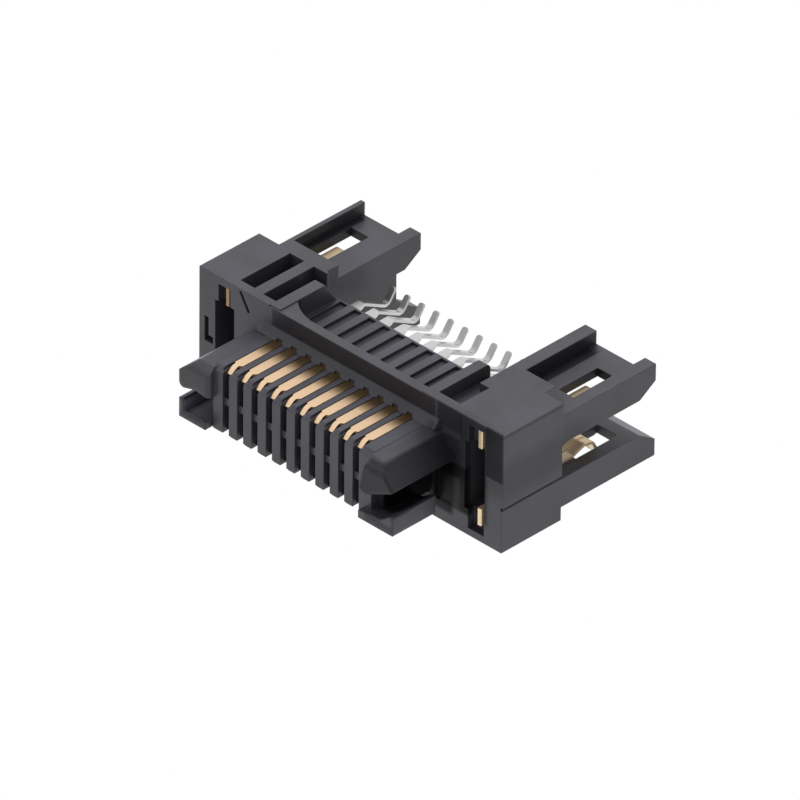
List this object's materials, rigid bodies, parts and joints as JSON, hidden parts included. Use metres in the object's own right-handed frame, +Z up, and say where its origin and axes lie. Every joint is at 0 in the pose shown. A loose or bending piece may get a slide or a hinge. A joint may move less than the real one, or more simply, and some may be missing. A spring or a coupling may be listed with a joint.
{
  "type": "board-to-board header",
  "caption": "Straddle-mount board header: a plug tongue with contacts on both faces, end pods with power contacts, and arms that clamp a board edge.",
  "frame": {"origin": "middle of the plane of the end pods' front faces, at mid height and in the middle of the contact rows", "axes": "+X along the contact rows, -Y the way the plug tongue points, +Y towards the circuit board, +Z up, square to the board"},
  "size_m": [0.0266, 0.0192, 0.0088],
  "materials": {
    "housing": "moulded charcoal plastic with a fine matt grain",
    "signal_contact": "copper alloy strip, gold plated at the mating end and matt tin on the solder tails",
    "power_contact": "copper alloy strip, gold plated"
  },
  "bodies": {
    "root": {"contact_bottom_01": "signal_contact", "contact_bottom_02": "signal_contact", "contact_bottom_03": "signal_contact", "contact_bottom_04": "signal_contact", "contact_bottom_05": "signal_contact", "contact_bottom_06": "signal_contact", "contact_bottom_07": "signal_contact", "contact_bottom_08": "signal_contact", "contact_bottom_09": "signal_contact", "contact_bottom_10": "signal_contact", "contact_top_01": "signal_contact", "contact_top_02": "signal_contact", "contact_top_03": "signal_contact", "contact_top_04": "signal_contact", "contact_top_05": "signal_contact", "contact_top_06": "signal_contact", "contact_top_07": "signal_contact", "contact_top_08": "signal_contact", "contact_top_09": "signal_contact", "contact_top_10": "signal_contact", "housing": "housing", "power_bottom_left": "power_contact", "power_bottom_right": "power_contact", "power_top_left": "power_contact", "power_top_right": "power_contact"}
  },
  "joints": []
}
